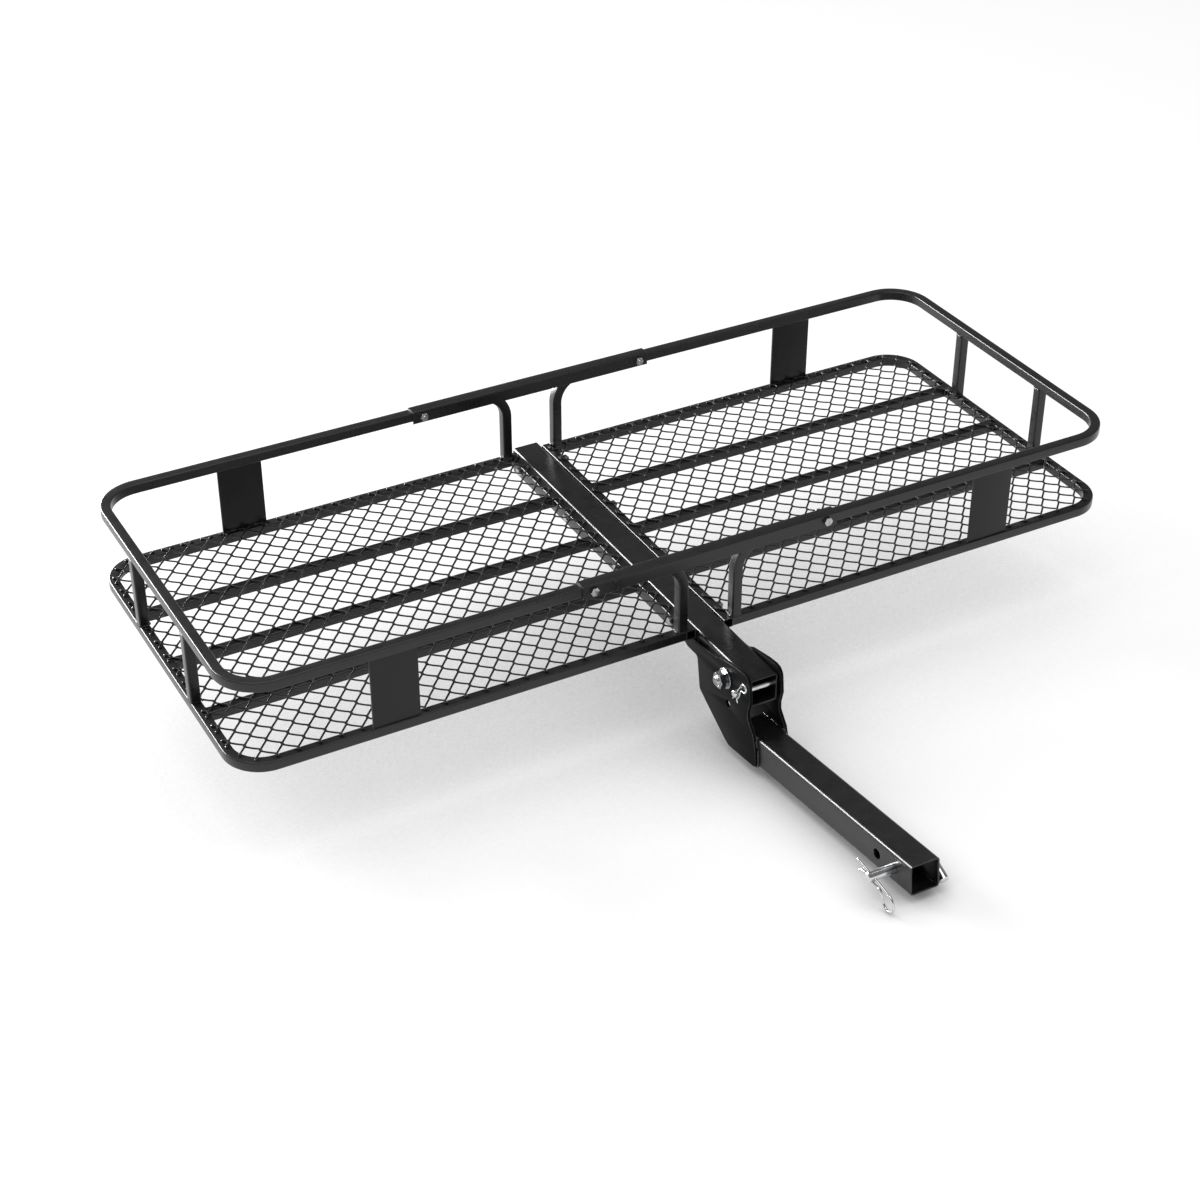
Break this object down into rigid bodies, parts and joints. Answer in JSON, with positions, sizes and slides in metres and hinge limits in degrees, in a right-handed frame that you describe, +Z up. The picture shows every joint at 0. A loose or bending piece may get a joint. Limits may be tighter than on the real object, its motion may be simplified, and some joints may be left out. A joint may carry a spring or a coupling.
{
  "type": "hitch cargo carrier",
  "caption": "Folding steel cargo basket with a mesh floor and rounded rails, carried on a square beam that tips up between plates on a receiver shank with locking pins.",
  "frame": {"origin": "centre of the hitch pin hole, on the axis of the square receiver shank", "axes": "+X along the basket's length, +Y from the vehicle outwards along the shank, +Z up"},
  "size_m": [1.58, 1.233, 0.3875],
  "materials": {
    "powder_black": "satin black powder coat",
    "mesh_black": "satin black powder coat on expanded steel",
    "zinc": "bright zinc plating"
  },
  "bodies": {
    "mount": {"shank": "powder_black", "hinge_plate_left": "powder_black", "hinge_plate_right": "powder_black", "pivot_bolt": "zinc", "pivot_washer_left": "zinc", "pivot_washer_right": "zinc", "pivot_nut": "zinc"},
    "basket": {"beam": "powder_black", "beam_bolt_1": "zinc", "beam_bolt_2": "zinc", "beam_bolt_3": "zinc", "beam_bolt_4": "zinc", "beam_nut_1": "zinc", "beam_nut_2": "zinc", "beam_nut_3": "zinc", "beam_nut_4": "zinc", "bottom_rail_left": "powder_black", "bottom_rail_right": "powder_black", "end_post_back_left": "powder_black", "end_post_back_right": "powder_black", "end_post_front_left": "powder_black", "end_post_front_right": "powder_black", "floor_bar_1_left": "powder_black", "floor_bar_1_right": "powder_black", "floor_bar_2_left": "powder_black", "floor_bar_2_right": "powder_black", "floor_bar_3_left": "powder_black", "floor_bar_3_right": "powder_black", "floor_mesh_left": "mesh_black", "floor_mesh_right": "mesh_black", "inner_bar_left": "powder_black", "inner_bar_right": "powder_black", "rail_bolt_back_left": "zinc", "rail_bolt_back_right": "zinc", "rail_bolt_front_left": "zinc", "rail_bolt_front_right": "zinc", "rail_nut_back_left": "zinc", "rail_nut_back_right": "zinc", "rail_nut_front_left": "zinc", "rail_nut_front_right": "zinc", "rail_sleeve_back": "powder_black", "rail_sleeve_front": "powder_black", "side_plate_back_left": "powder_black", "side_plate_back_right": "powder_black", "side_plate_front_left": "powder_black", "side_plate_front_right": "powder_black", "top_rail_left": "powder_black", "top_rail_right": "powder_black"},
    "lock_pin_body": {"lock_pin": "zinc"},
    "lock_clip_body": {"lock_clip": "zinc"},
    "hitch_pin_body": {"hitch_pin": "zinc"},
    "hitch_clip_body": {"hitch_clip": "zinc"}
  },
  "joints": [
    {"name": "basket_fold", "type": "hinge", "parent": "mount", "child": "basket", "pos_m": [0, 0.4425, 0.0975], "axis": [1, 0, 0], "range_deg": [0, 83.5]},
    {"name": "lock_pin_play", "type": "slide", "parent": "basket", "child": "lock_pin_body", "axis": [1, 0, 0], "range_m": [-0.005, 0.006]},
    {"name": "lock_clip_pull", "type": "slide", "parent": "lock_pin_body", "child": "lock_clip_body", "axis": [0, -0.5998, 0.8002], "range_m": [0, 0.026]},
    {"name": "hitch_pin_play", "type": "slide", "parent": "mount", "child": "hitch_pin_body", "axis": [1, 0, 0], "range_m": [0, 0.03]},
    {"name": "hitch_clip_pull", "type": "slide", "parent": "hitch_pin_body", "child": "hitch_clip_body", "axis": [0, -0.975, -0.222], "range_m": [0, 0.046]}
  ]
}
